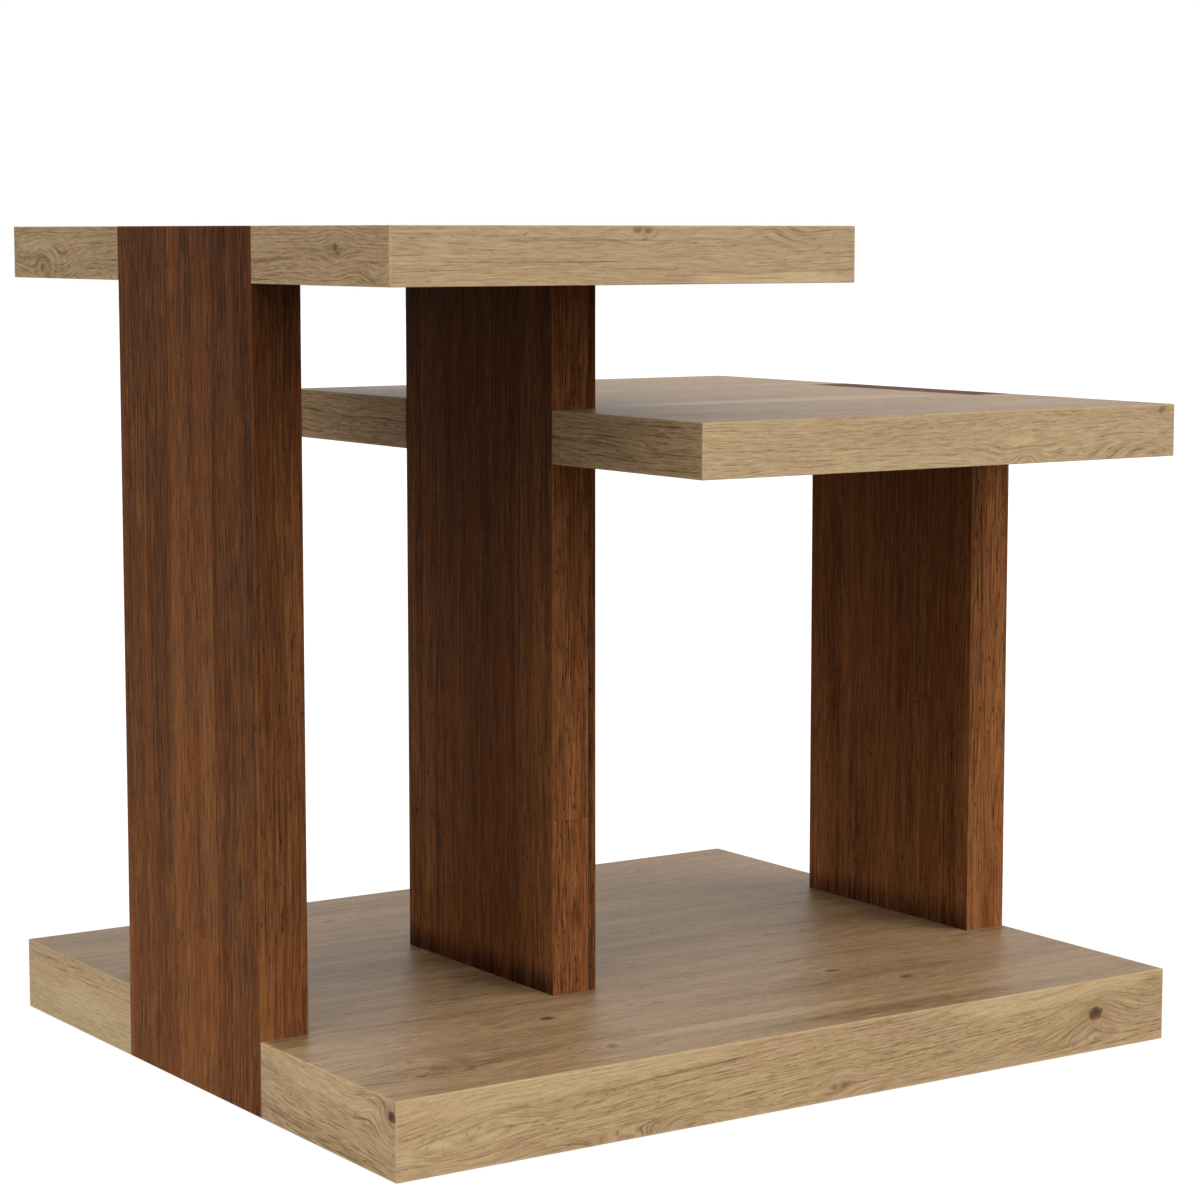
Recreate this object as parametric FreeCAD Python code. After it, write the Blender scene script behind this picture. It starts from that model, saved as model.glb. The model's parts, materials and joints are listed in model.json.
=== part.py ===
import FreeCAD
import Part
import math
import os

# Tiered side table: a thick oak base, an oak top over its left part and a lower oak shelf over its right
# part, carried by three walnut panel posts. Every slab and post is a hollow box of veneered panels with
# mitred edges round a core of rails. Cam fittings and dowels hold the slabs to the posts, and two tie rods
# clamp the base, the middle post and the top together.
# Frame: X runs to the right along the front, Y to the back, Z up. The origin is on the floor under the
# middle of the base. Lengths are in millimetres.

V = FreeCAD.Vector
X = V(1, 0, 0)
Y = V(0, 1, 0)
Z = V(0, 0, 1)

# Overall sizes
base_length = 660.0
slab_depth = 564.0
table_height = 602.5          # floor to the upper face of the top
shelf_drop = 128.5            # upper face of the top down to the upper face of the shelf
base_thickness = 53.0
top_thickness = 38.0
shelf_thickness = 38.0
middle_post_offset = 236.0    # left end of the base to the middle post's left face
top_overhang = 89.0           # top beyond the middle post's right face

# Posts
post_width = 202.0
post_thickness = 37.0
post_panel_thickness = 12.0
stile_width = 30.0
end_block_height = 60.0

# Slab construction
slab_panel_thickness = 9.0
rail_width = 40.0
bearer_width = 48.0           # of the rails that posts are fixed to
cheek_width = 40.0
arris_radius = 0.6
fit_gap = 0.2                 # between a post and the notch that it sits in

# Fittings between slabs and posts
cam_diameter = 15.0
cam_head_room = 5.0           # of a cam above its bolt's axis
cam_spacing_share = 0.6       # of the post's width
cam_slot_length = 9.0
cam_slot_width = 1.6
cam_slot_depth = 2.5
bolt_thread_diameter = 5.0
bolt_shank_diameter = 7.0
bolt_neck_diameter = 4.0
bolt_neck_length = 3.0
bolt_head_length = 3.0
dowel_diameter = 8.0
dowel_reach = 19.0            # of a dowel into the slab's bearer
dowel_chamfer = 0.8
dowel_spacing_share = 0.3     # of the post's width
blind_hole_cover = 1.0        # left under a hole that stops inside a post's panel
hole_clearance = 0.1          # round a pin, rod or fitting in its hole

# Tie rods in the middle post
rod_diameter = 8.0
rod_spacing_share = 0.55      # of the end blocks' width
insert_diameter = 12.0
insert_cover = 5.0            # left above an insert in its rail
nut_height = 8.0
nut_width_across_flats = 13.0
nut_flange_margin = 1.45      # of the flange beyond the hexagon's corners
nut_flange_thickness = 2.0
nut_sink = 1.5                # of a nut above the base's underside

# Glides
glide_height = 1.0            # glides stand proud of the base's underside by this
glide_diameter = 24.0
glide_thickness = 4.0
glide_nail_diameter = 3.0
glide_nail_length = 18.0
glide_inset = 60.0            # from the base's ends
glide_chamfer = 0.5

overrun = 2.0                 # of a cutting tool past the face that it cuts

# Places that follow from the sizes
left = -base_length / 2
right = base_length / 2
front = -slab_depth / 2
back = slab_depth / 2
base_bottom = glide_height
base_top = base_bottom + base_thickness
shelf_height = table_height - shelf_drop
shelf_bottom = shelf_height - shelf_thickness
top_bottom = table_height - top_thickness
middle_left = left + middle_post_offset
middle_right = middle_left + post_thickness
middle_centre = (middle_left + middle_right) / 2
top_right_end = middle_right + top_overhang
half_notch = post_width / 2 + fit_gap
post_grip = post_panel_thickness - blind_hole_cover
cam_axis_height = min(top_thickness, shelf_thickness) / 2    # above a slab's underside
nut_corner_radius = nut_width_across_flats / 2 / math.cos(math.pi / 6)
nut_flange_diameter = 2 * (nut_corner_radius + nut_flange_margin)

pieces = {}    # node name to its solids
holes = {}     # node name to the tools that bore it


def add(node, *solids):
    """Adds solids to a node."""
    pieces.setdefault(node, []).extend(solids)


def bore(node, *tools):
    """Notes holes that are cut in every solid of a node."""
    holes.setdefault(node, []).extend(tools)


def box(x0, x1, y0, y1, z0, z1):
    """A box between two values on each axis, in either order."""
    low = V(min(x0, x1), min(y0, y1), min(z0, z1))
    return Part.makeBox(abs(x1 - x0), abs(y1 - y0), abs(z1 - z0), low)


def rod(diameter, start, end, clearance=0):
    """A round bar between two points, or the hole for it when a clearance is given."""
    run = end - start
    return Part.makeCylinder(diameter / 2 + clearance, run.Length, start, run)


def turned(start, direction, steps):
    """A turned pin: round steps of (diameter, length) one after the other from start."""
    solid = None
    for diameter, length in steps:
        end = start + direction * length
        step = rod(diameter, start, end)
        solid = solid.fuse(step) if solid else step
        start = end
    return solid


def ring_edges(solid, point, axis):
    """The edges of a solid that lie in the plane through a point square to an axis."""
    level = point.dot(axis)
    return [e for e in solid.Edges if all(math.isclose(v.Point.dot(axis), level) for v in e.Vertexes)]


def mitred_board(corner, along, across, inward, length, width, thickness, mitres):
    """A board whose outer face starts at corner and measures length by width.

    mitres says for its four sides (start and end of along, start and end of across) whether the side
    slopes in at 45 degrees to meet its neighbour, or is cut square."""
    start, end, low, high = (thickness if mitre else 0 for mitre in mitres)
    outer = ((0, 0), (length, 0), (length, width), (0, width))
    inner = ((start, low), (length - end, low), (length - end, width - high), (start, width - high))
    outer_ring = [corner + along * a + across * b for a, b in outer]
    inner_ring = [corner + inward * thickness + along * a + across * b for a, b in inner]
    rings = [outer_ring, inner_ring]
    for i in range(len(outer_ring)):
        rings.append([outer_ring[i - 1], outer_ring[i], inner_ring[i], inner_ring[i - 1]])
    faces = [Part.Face(Part.makePolygon(ring + ring[:1])) for ring in rings]
    return Part.Solid(Part.Shell(faces))


class Slab:
    """A horizontal slab. Each of its ends named in notched is let onto a post."""

    def __init__(self, name, left_end, right_end, bottom, thickness, notched):
        self.name = name
        self.left = left_end
        self.right = right_end
        self.bottom = bottom
        self.top = bottom + thickness
        self.notched = notched
        self.core_bottom = self.bottom + slab_panel_thickness
        self.core_top = self.top - slab_panel_thickness

    def end(self, side):
        """The X of an end, and the direction from it into the slab."""
        return (self.left, 1) if side == "left" else (self.right, -1)

    def notch_back(self, side):
        """The X of the inner wall of a notch."""
        x, inward = self.end(side)
        return x + inward * (post_thickness + fit_gap)

    def notch(self, side):
        """The tool that cuts a notch."""
        x, inward = self.end(side)
        return box(x - inward * overrun, self.notch_back(side), -half_notch, half_notch,
                   self.bottom - overrun, self.top + overrun)


def slab_panels(slab):
    """The upper and lower panels, notched round the posts."""
    length = slab.right - slab.left
    for name, z, inward in (("upper", slab.top, -Z), ("lower", slab.bottom, Z)):
        corner = V(slab.left, front, z)
        panel = mitred_board(corner, X, Y, inward, length, slab_depth, slab_panel_thickness, (1, 1, 1, 1))
        for side in slab.notched:
            panel = panel.cut(slab.notch(side))
        add(f"{slab.name}_{name}_panel", panel)


def slab_lippings(slab):
    """Lippings on every edge, mitred at the corners and cut square at the notches."""
    length = slab.right - slab.left
    height = slab.top - slab.bottom
    for name, y, inward in (("front", front, Y), ("back", back, -Y)):
        corner = V(slab.left, y, slab.bottom)
        board = mitred_board(corner, X, Z, inward, length, height, slab_panel_thickness, (1, 1, 1, 1))
        add(f"{slab.name}_{name}_lipping", board)
    for side in ("left", "right"):
        x, sign = slab.end(side)
        if side in slab.notched:
            runs = ((f"{side}_front", front, -half_notch, (1, 0, 1, 1)),
                    (f"{side}_back", half_notch, back, (0, 1, 1, 1)))
        else:
            runs = ((side, front, back, (1, 1, 1, 1)),)
        for name, y0, y1, mitres in runs:
            corner = V(x, y0, slab.bottom)
            board = mitred_board(corner, Y, Z, X * sign, y1 - y0, height, slab_panel_thickness, mitres)
            add(f"{slab.name}_{name}_lipping", board)


def slab_core(slab, cross_rails):
    """Long rails, cross rails and notch cheeks. cross_rails lists extra rails as (middle X, width)."""
    z0 = slab.core_bottom
    z1 = slab.core_top
    x0 = slab.left + slab_panel_thickness
    x1 = slab.right - slab_panel_thickness
    rail_face = back - slab_panel_thickness - rail_width
    for side in (-1, 1):
        rail = box(x0, x1, side * rail_face, side * (rail_face + rail_width), z0, z1)
        add(f"{slab.name}_long_rails", rail)
    spans = [(middle - width / 2, middle + width / 2) for middle, width in cross_rails]
    for side in ("left", "right"):
        x, inward = slab.end(side)
        lipping_face = x + inward * slab_panel_thickness
        if side not in slab.notched:
            spans.append((lipping_face, lipping_face + inward * rail_width))
            continue
        notch_back = slab.notch_back(side)
        spans.append((notch_back, notch_back + inward * bearer_width))
        for y in (-half_notch, half_notch):
            outer = y + math.copysign(cheek_width, y)
            add(f"{slab.name}_notch_cheeks", box(lipping_face, notch_back, y, outer, z0, z1))
    for x_start, x_end in spans:
        add(f"{slab.name}_cross_rails", box(x_start, x_end, -rail_face, rail_face, z0, z1))


def ease_slab(slab):
    """Rounds the arrises of the panels and lippings together, as sanding does."""
    body = box(slab.left, slab.right, front, back, slab.bottom, slab.top)
    ease(slab.name, body.makeFillet(arris_radius, body.Edges))


def ease(prefix, body):
    """Trims the panels, lippings and caps of a slab or post to a body with rounded edges."""
    for node in pieces:
        if node.startswith(prefix) and node.endswith(("_panel", "_lipping", "_cap")):
            pieces[node] = [solid.common(body) for solid in pieces[node]]


def post(name, x0, bottom, top, panel_names, capped):
    """A hollow post: two wide panels, two narrow lippings, stiles, end blocks, and a cap if its end shows."""
    x1 = x0 + post_thickness
    height = top - bottom
    half = post_width / 2
    skin = post_panel_thickness
    sides = (1, 1, 0, capped)
    for panel, x, inward in ((panel_names[0], x0, X), (panel_names[1], x1, -X)):
        board = mitred_board(V(x, -half, bottom), Y, Z, inward, post_width, height, skin, sides)
        add(f"{name}_{panel}_panel", board)
    for edge, y, inward in (("front", -half, Y), ("back", half, -Y)):
        board = mitred_board(V(x0, y, bottom), X, Z, inward, post_thickness, height, skin, sides)
        add(f"{name}_{edge}_lipping", board)
    core_top = top
    if capped:
        core_top = top - skin
        cap = mitred_board(V(x0, -half, top), X, Y, -Z, post_thickness, post_width, skin, (1, 1, 1, 1))
        add(f"{name}_cap", cap)
    stile_face = half - skin - stile_width
    for side in (-1, 1):
        y_run = (side * stile_face, side * (stile_face + stile_width))
        add(f"{name}_stiles", box(x0 + skin, x1 - skin, *y_run, bottom, core_top))
    for z in (bottom, core_top - end_block_height):
        block = box(x0 + skin, x1 - skin, -stile_face, stile_face, z, z + end_block_height)
        add(f"{name}_end_blocks", block)
    body = box(x0, x1, -half, half, bottom, top)
    upright = [e for e in body.Edges if e.Vertexes[0].Z != e.Vertexes[1].Z]
    ease(name, body.makeFillet(arris_radius, body.Edges if capped else upright))


def cam_joint(slab, side, post_panel):
    """Cam locks, cam bolts and dowels that hold a slab's bearer against a post's panel."""
    notch_back = slab.notch_back(side)
    inward = slab.end(side)[1]
    into_slab = X * inward
    post_face = notch_back - inward * fit_gap
    cam_x = notch_back + inward * bearer_width / 2
    axis_z = slab.bottom + cam_axis_height
    rails = f"{slab.name}_cross_rails"
    lower_panel = f"{slab.name}_lower_panel"
    for sign in (-1, 1):
        y = sign * cam_spacing_share * post_width / 2
        foot = V(cam_x, y, slab.bottom)
        crown = V(cam_x, y, axis_z + cam_head_room)
        bolt_tip = V(post_face - inward * post_grip, y, axis_z)
        bolt_end = V(cam_x + inward * bolt_head_length / 2, y, axis_z)
        shank_length = abs(bolt_end.x - bolt_tip.x) - post_grip - bolt_neck_length - bolt_head_length
        steps = ((bolt_thread_diameter, post_grip), (bolt_shank_diameter, shank_length),
                 (bolt_neck_diameter, bolt_neck_length), (bolt_shank_diameter, bolt_head_length))
        add("cam_bolts", turned(bolt_tip, into_slab, steps))
        bolt_hole = rod(bolt_shank_diameter, V(notch_back, y, axis_z) - into_slab * overrun,
                        bolt_end + into_slab * hole_clearance, hole_clearance)
        cam = rod(cam_diameter, foot, crown).cut(bolt_hole)
        for length, width in ((cam_slot_length, cam_slot_width), (cam_slot_width, cam_slot_length)):
            cam = cam.cut(box(cam_x - length / 2, cam_x + length / 2, y - width / 2, y + width / 2,
                              slab.bottom, slab.bottom + cam_slot_depth))
        add("cam_locks", cam)
        cam_hole = rod(cam_diameter, foot - Z * overrun, crown + Z * hole_clearance, hole_clearance)
        bore(rails, cam_hole, bolt_hole)
        bore(lower_panel, cam_hole)
        bore(post_panel, rod(bolt_thread_diameter, bolt_tip - into_slab * hole_clearance,
                             V(post_face + inward * overrun, y, axis_z), hole_clearance))
        dowel_y = sign * dowel_spacing_share * post_width / 2
        dowel_start = V(post_face - inward * post_grip, dowel_y, axis_z)
        dowel_end = V(notch_back + inward * dowel_reach, dowel_y, axis_z)
        dowel = rod(dowel_diameter, dowel_start, dowel_end)
        ends = ring_edges(dowel, dowel_start, X) + ring_edges(dowel, dowel_end, X)
        add("dowels", dowel.makeChamfer(dowel_chamfer, ends))
        dowel_hole = rod(dowel_diameter, dowel_start - into_slab * hole_clearance,
                         dowel_end + into_slab * hole_clearance, hole_clearance)
        bore(rails, dowel_hole)
        bore(post_panel, dowel_hole)


def hexagon_prism(corner_radius, centre, height):
    """A hexagonal bar standing on centre."""
    angles = [side * math.pi / 3 for side in range(7)]
    ring = [centre + V(math.cos(angle), math.sin(angle), 0) * corner_radius for angle in angles]
    return Part.Face(Part.makePolygon(ring)).extrude(Z * height)


def tie_rods(base, top):
    """Rods down the middle post, with inserts in the top and flange nuts let into the base."""
    block_width = post_width - 2 * (post_panel_thickness + stile_width)
    nut_bottom = base.bottom + nut_sink
    nut_top = nut_bottom + nut_height
    insert_top = top.core_top - insert_cover
    for sign in (-1, 1):
        y = sign * rod_spacing_share * block_width / 2
        rod_bottom = V(middle_centre, y, nut_bottom)
        rod_top = V(middle_centre, y, insert_top)
        add("tie_rods", rod(rod_diameter, rod_bottom, rod_top))
        rod_hole = rod(rod_diameter, rod_bottom, rod_top, hole_clearance)
        seat = V(middle_centre, y, nut_top)
        flange = rod(nut_flange_diameter, seat - Z * nut_flange_thickness, seat)
        nut = hexagon_prism(nut_corner_radius, rod_bottom, nut_height).fuse(flange)
        add("tie_rod_nuts", nut.cut(rod_hole))
        recess = rod(nut_flange_diameter, rod_bottom - Z * (nut_sink + overrun), seat, hole_clearance)
        bore("base_lower_panel", recess, rod_hole)
        bore("base_cross_rails", recess, rod_hole)
        insert_foot = V(middle_centre, y, top.core_bottom)
        add("threaded_inserts", rod(insert_diameter, insert_foot, rod_top).cut(rod_hole))
        bore("top_cross_rails", rod(insert_diameter, insert_foot, rod_top, hole_clearance))
        for node in ("base_upper_panel", "middle_post_end_blocks", "middle_post_left_panel",
                     "middle_post_right_panel", "top_lower_panel"):
            bore(node, rod_hole)


def glides(base):
    """Plastic glides let into the underside of the base, each with its nail up into a long rail."""
    rail_middle = back - slab_panel_thickness - rail_width / 2
    for x in (base.left + glide_inset, base.right - glide_inset):
        for y in (-rail_middle, rail_middle):
            foot = V(x, y, 0)
            seat = foot + Z * glide_thickness
            tip = seat + Z * glide_nail_length
            disc = rod(glide_diameter, foot, seat)
            disc = disc.makeChamfer(glide_chamfer, ring_edges(disc, foot, Z))
            add("glides", disc.fuse(rod(glide_nail_diameter, seat, tip)))
            nail_hole = rod(glide_nail_diameter, seat, tip + Z * hole_clearance, hole_clearance)
            bore("base_lower_panel", rod(glide_diameter, foot, seat, hole_clearance), nail_hole)
            bore("base_long_rails", nail_hole)


def write_parts():
    """Bores every piece and writes one file for each node."""
    os.makedirs("parts", exist_ok=True)
    for node, solids in pieces.items():
        bored = []
        for solid in solids:
            for tool in holes.get(node, []):
                if solid.BoundBox.intersect(tool.BoundBox):
                    solid = solid.cut(tool)
            bored += solid.Solids
        Part.makeCompound(bored).exportStep(f"parts/{node}.step")
        volume = sum(solid.Volume for solid in bored)
        print(node, len(bored), "solids", round(volume), "mm3", all(solid.isValid() for solid in bored))


base = Slab("base", left, right, base_bottom, base_thickness, ("left", "right"))
shelf = Slab("shelf", middle_left, right, shelf_bottom, shelf_thickness, ("left", "right"))
top = Slab("top", left, top_right_end, top_bottom, top_thickness, ("left",))

base_mid_span = (middle_centre + bearer_width / 2 + base.notch_back("right") - bearer_width) / 2
shelf_mid_span = (shelf.left + shelf.right) / 2
slab_core(base, ((middle_centre, bearer_width), (base_mid_span, rail_width)))
slab_core(shelf, ((shelf_mid_span, rail_width),))
slab_core(top, ((middle_centre, bearer_width),))
for slab in (base, shelf, top):
    slab_panels(slab)
    slab_lippings(slab)
    ease_slab(slab)

post("left_post", left, base_bottom, table_height, ("outer", "inner"), True)
post("middle_post", middle_left, base_top, top_bottom, ("left", "right"), False)
post("right_post", right - post_thickness, base_bottom, shelf_height, ("inner", "outer"), True)

cam_joint(base, "left", "left_post_inner_panel")
cam_joint(base, "right", "right_post_inner_panel")
cam_joint(shelf, "left", "middle_post_right_panel")
cam_joint(shelf, "right", "right_post_inner_panel")
cam_joint(top, "left", "left_post_inner_panel")
tie_rods(base, top)
glides(base)
write_parts()
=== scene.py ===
import json
import math
from dataclasses import dataclass, field, replace

import bpy
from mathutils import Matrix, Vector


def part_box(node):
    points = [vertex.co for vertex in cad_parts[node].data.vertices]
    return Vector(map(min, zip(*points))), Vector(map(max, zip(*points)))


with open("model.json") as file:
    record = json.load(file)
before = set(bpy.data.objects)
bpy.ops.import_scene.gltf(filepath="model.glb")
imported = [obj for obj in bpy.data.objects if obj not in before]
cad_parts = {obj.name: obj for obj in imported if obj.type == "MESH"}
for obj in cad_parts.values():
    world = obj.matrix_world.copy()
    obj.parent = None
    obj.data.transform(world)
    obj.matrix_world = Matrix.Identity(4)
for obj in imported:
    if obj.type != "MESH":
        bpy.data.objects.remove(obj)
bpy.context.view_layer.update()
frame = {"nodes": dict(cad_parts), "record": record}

# A tiered side table in pale oak and dark walnut. The solids keep their shape, and this script gives every
# one of them its finish: veneer with rings, pores, knots and pale sapwood, laid to follow the grain of each
# board. Lengths are in metres, in the frame of the solids.

# Camera, at the photograph's viewpoint: angles in degrees, lens and sensor in millimetres. The level turn
# brings it from looking straight down to looking level.
CAMERA_PLACE = (-1.3157, -1.9807, 0.5971)
CAMERA_YAW = 33.884
CAMERA_PITCH = -6.546
LEVEL_TURN = 90.0
CAMERA_LENS = 95.72
SENSOR_WIDTH = 36.0

# Floor: its side, the grey that takes the shadow and the glow under it, and the share of light that it
# sends back, a painted pool of light that drops between two distances from the table's middle
FLOOR_SIDE = 40.0
SHADOW_GREY = 0.22
FLOOR_GLOW = 0.88
BOUNCE_REACH = (0.9, 1.6)
BOUNCE_SHARES = (0.4, 0.02)


@dataclass
class Lamp:
    """A soft lamp far away: how bright it is, the way it comes from, in degrees to the right of the front,
    and how narrow it is."""
    strength: float
    way: float
    sharpness: float


KEY_LAMP = Lamp(3.5, 30.0, 2.5)
LEFT_LAMP = Lamp(2.9, -90.0, 4.0)
BACK_LAMP = Lamp(0.85, 180.0, 6.0)
RIGHT_LAMP = Lamp(0.5, 90.0, 6.0)
FILL_LIGHT = 0.02

# Sky: the lamps glow more above the first stretch of its height, as shares, and less above the second. The
# least square keeps a division from failing at the zenith.
RISE_SHARES = (0.34, 0.57)
RISE_LEVELS = (0.5, 1.4)
FALL_SHARES = (0.70, 0.87)
FALL_LEVELS = (1.0, 0.3)
LEAST_SQUARE = 0.0001

# Noise: its middle, and the factor that brings its swing to about half a unit either way
NOISE_MIDDLE = 0.5
NOISE_GAIN = 2.0

# Sockets of the Mix node for colours
MIX_FACTOR = 0
MIX_FIRST = 6
MIX_SECOND = 7
MIX_RESULT = 2


class Graph:
    """Builds the node tree of one material or world. Most methods return an output socket."""

    def __init__(self, owner):
        owner.use_nodes = True
        self.owner = owner
        self.tree = owner.node_tree
        self.tree.nodes.clear()

    def feed(self, socket, value):
        """Links a socket to an output, or sets its value."""
        if isinstance(value, bpy.types.NodeSocket):
            self.tree.links.new(value, socket)
        else:
            socket.default_value = value

    def node(self, kind, inputs=None, **settings):
        """Adds a node with settings and inputs, and returns the node."""
        node = self.tree.nodes.new(kind)
        for name, value in settings.items():
            setattr(node, name, value)
        for name, value in (inputs or {}).items():
            self.feed(node.inputs[name], value)
        return node

    def place(self):
        """The place on the object."""
        return self.node("ShaderNodeTexCoord").outputs["Object"]

    def math(self, operation, *values, clamp=False):
        node = self.node("ShaderNodeMath", operation=operation, use_clamp=clamp)
        for socket, value in zip(node.inputs, values):
            self.feed(socket, value)
        return node.outputs[0]

    def add(self, a, b):
        return self.math("ADD", a, b)

    def sub(self, a, b):
        return self.math("SUBTRACT", a, b)

    def mul(self, a, b):
        return self.math("MULTIPLY", a, b)

    def scaled(self, a, factor, b):
        """a times factor, plus b."""
        return self.math("MULTIPLY_ADD", a, factor, b)

    def squares(self, a, b):
        """The sum of two squares."""
        return self.add(self.mul(a, a), self.mul(b, b))

    def step(self, value, low, high, to_low=0.0, to_high=1.0):
        """A smooth step of value from low to high."""
        node = self.node("ShaderNodeMapRange", interpolation_type="SMOOTHSTEP")
        for socket, number in zip(node.inputs, (value, low, high, to_low, to_high)):
            self.feed(socket, number)
        return node.outputs[0]

    def within(self, value, low, high):
        """1 where a value lies between two limits."""
        return self.math("COMPARE", value, (low + high) / 2, (high - low) / 2)

    def mix(self, factor, first, second):
        """Mixes two colours."""
        node = self.node("ShaderNodeMix", data_type="RGBA")
        self.feed(node.inputs[MIX_FACTOR], factor)
        self.feed(node.inputs[MIX_FIRST], first)
        self.feed(node.inputs[MIX_SECOND], second)
        return node.outputs[MIX_RESULT]

    def noise(self, place, detail=2.0, roughness=0.5, scale=1.0):
        """Smooth noise about zero, mostly within a quarter either way."""
        inputs = {"Vector": place, "Scale": scale, "Detail": detail, "Roughness": roughness}
        return self.sub(self.node("ShaderNodeTexNoise", inputs).outputs[0], NOISE_MIDDLE)

    def ramp(self, factor, stops):
        """A colour ramp through (share, colour) stops."""
        node = self.node("ShaderNodeValToRGB", {"Fac": factor})
        elements = node.color_ramp.elements
        elements.remove(elements[1])
        elements[0].position = stops[0][0]
        elements[0].color = stops[0][1]
        for share, stop_colour in stops[1:]:
            elements.new(share).color = stop_colour
        return node.outputs[0]

    def bump(self, strength, distance, height):
        """The normal of a surface with some relief."""
        inputs = {"Strength": strength, "Distance": distance, "Height": height}
        return self.node("ShaderNodeBump", inputs).outputs[0]

    def finish(self, inputs):
        """Ends a material with a Principled shader, and returns the material."""
        shader = self.node("ShaderNodeBsdfPrincipled", inputs)
        self.node("ShaderNodeOutputMaterial", {"Surface": shader.outputs[0]})
        return self.owner


# Colours are written in the levels of a screen, from 0 to 255, and turned into linear light
FULL_LEVEL = 255
DARK_SHARE = 0.04045
DARK_SLOPE = 12.92
CURVE_OFFSET = 0.055
CURVE_POWER = 2.4
WHITE = (1.0, 1.0, 1.0, 1.0)


def linear(level):
    """The light of one level."""
    share = level / FULL_LEVEL
    if share <= DARK_SHARE:
        return share / DARK_SLOPE
    return ((share + CURVE_OFFSET) / (1 + CURVE_OFFSET)) ** CURVE_POWER


def colour(red, green, blue):
    """The light of a colour."""
    return (linear(red), linear(green), linear(blue), 1.0)


# Woods
SHADE_SHARES = (0.0, 0.3, 0.5, 0.7, 1.0)


@dataclass
class Marks:
    """Noise drawn out along the grain: the length and width of its marks, and how far they shift what they
    change."""
    length: float
    width: float
    depth: float


@dataclass
class Wood:
    """How one wood looks. Shades run from the darkest pore to the palest streak, at the lightnesses of
    SHADE_SHARES, and streaks from the broadest to the finest. Lines are the fine dark ones of the rings."""
    shades: list
    sapwood: tuple
    knot: tuple
    tint: tuple
    tint_marks: Marks
    wander: Marks
    ripple: Marks
    line_pitch: float
    line_share: float
    line_length: float
    line_depth: float
    streaks: list
    pores: Marks
    pore_level: float
    roughness: float
    specular: float
    relief: float
    wear_and_highlight_share: float


OAK_FACE = Wood(
    shades=[colour(98, 74, 49), colour(146, 119, 86), colour(172, 146, 111),
            colour(187, 163, 126), colour(206, 184, 144)],
    sapwood=colour(196, 172, 128), knot=colour(66, 55, 44),
    tint=colour(173, 141, 111), tint_marks=Marks(0.16, 0.022, 1.4),
    wander=Marks(0.26, 0.050, 0.010), ripple=Marks(0.050, 0.014, 0.0009),
    line_pitch=0.0028, line_share=0.34, line_length=0.05, line_depth=0.26,
    streaks=[Marks(0.50, 0.032, 0.28), Marks(0.20, 0.008, 0.24),
             Marks(0.06, 0.0034, 0.22), Marks(0.018, 0.0011, 0.80)],
    pores=Marks(0.006, 0.0009, 0.30), pore_level=0.08,
    roughness=0.42, specular=0.16, relief=0.00012, wear_and_highlight_share=0.3)
OAK_EDGE = replace(
    OAK_FACE, line_depth=0.34, specular=0.025,
    streaks=[Marks(0.30, 0.030, 0.20), Marks(0.14, 0.009, 0.17),
             Marks(0.05, 0.0030, 0.20), Marks(0.015, 0.0011, 0.90)])

WALNUT_FACE = Wood(
    shades=[colour(40, 22, 12), colour(74, 44, 25), colour(98, 60, 34),
            colour(121, 76, 43), colour(146, 95, 55)],
    sapwood=colour(150, 98, 58), knot=colour(30, 16, 10),
    tint=colour(110, 58, 30), tint_marks=Marks(0.40, 0.014, 2.4),
    wander=Marks(0.40, 0.060, 0.010), ripple=Marks(0.080, 0.010, 0.0006),
    line_pitch=0.0026, line_share=0.4, line_length=0.10, line_depth=0.16,
    streaks=[Marks(0.50, 0.030, 0.40), Marks(0.22, 0.010, 0.22),
             Marks(0.16, 0.0032, 0.38), Marks(0.026, 0.0014, 0.85)],
    pores=Marks(0.006, 0.0014, 0.30), pore_level=0.08,
    roughness=0.48, specular=0.012, relief=0.00010, wear_and_highlight_share=0.12)
WALNUT_EDGE = replace(
    WALNUT_FACE, line_pitch=0.0024, line_length=0.08, line_depth=0.17, pores=Marks(0.008, 0.0012, 0.38),
    streaks=[Marks(0.50, 0.030, 0.36), Marks(0.25, 0.009, 0.22),
             Marks(0.16, 0.0026, 0.36), Marks(0.026, 0.0012, 0.90)])

PINE = Wood(
    shades=[colour(140, 98, 56), colour(186, 146, 96), colour(208, 174, 124),
            colour(220, 190, 142), colour(230, 206, 160)],
    sapwood=colour(230, 206, 160), knot=colour(96, 62, 36),
    tint=colour(210, 166, 116), tint_marks=Marks(0.2, 0.03, 1.2),
    wander=Marks(0.3, 0.05, 0.008), ripple=Marks(0.05, 0.014, 0.001),
    line_pitch=0.0025, line_share=0.6, line_length=0.2, line_depth=0.15,
    streaks=[Marks(0.3, 0.04, 0.2), Marks(0.1, 0.003, 0.3)],
    pores=Marks(0.02, 0.001, 0.1), pore_level=0.2,
    roughness=0.65, specular=0.2, relief=0.00008, wear_and_highlight_share=0.0)


# Boards
@dataclass
class Knot:
    """A knot on a face: its place along and across the grain, the radius of its core, how dark it is, how
    far the grain parts round it, in radii, how strongly it does so, and how far it rises over the knot.
    Where the shade is 0, only the parted grain shows."""
    along: float
    across: float
    radius: float
    shade: float = 0.8
    reach: float = 4.0
    push: float = 0.8
    lift: float = 0.0


@dataclass
class Arcs:
    """Growth rings that show as arcs: their centre, how far apart the darker ones are, how drawn out they
    are along the grain, the middle and half sizes of the oval in which they show, and how dark they are."""
    centre: tuple
    pitch: float
    stretch: float
    along: float
    across: float
    half_length: float
    half_width: float
    depth: float = 0.10


@dataclass
class Band:
    """A pale or dark streak: its middle and half sizes along and across the grain, and how much lighter it
    is than the board."""
    along: float
    across: float
    half_length: float
    half_width: float
    lift: float


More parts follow.
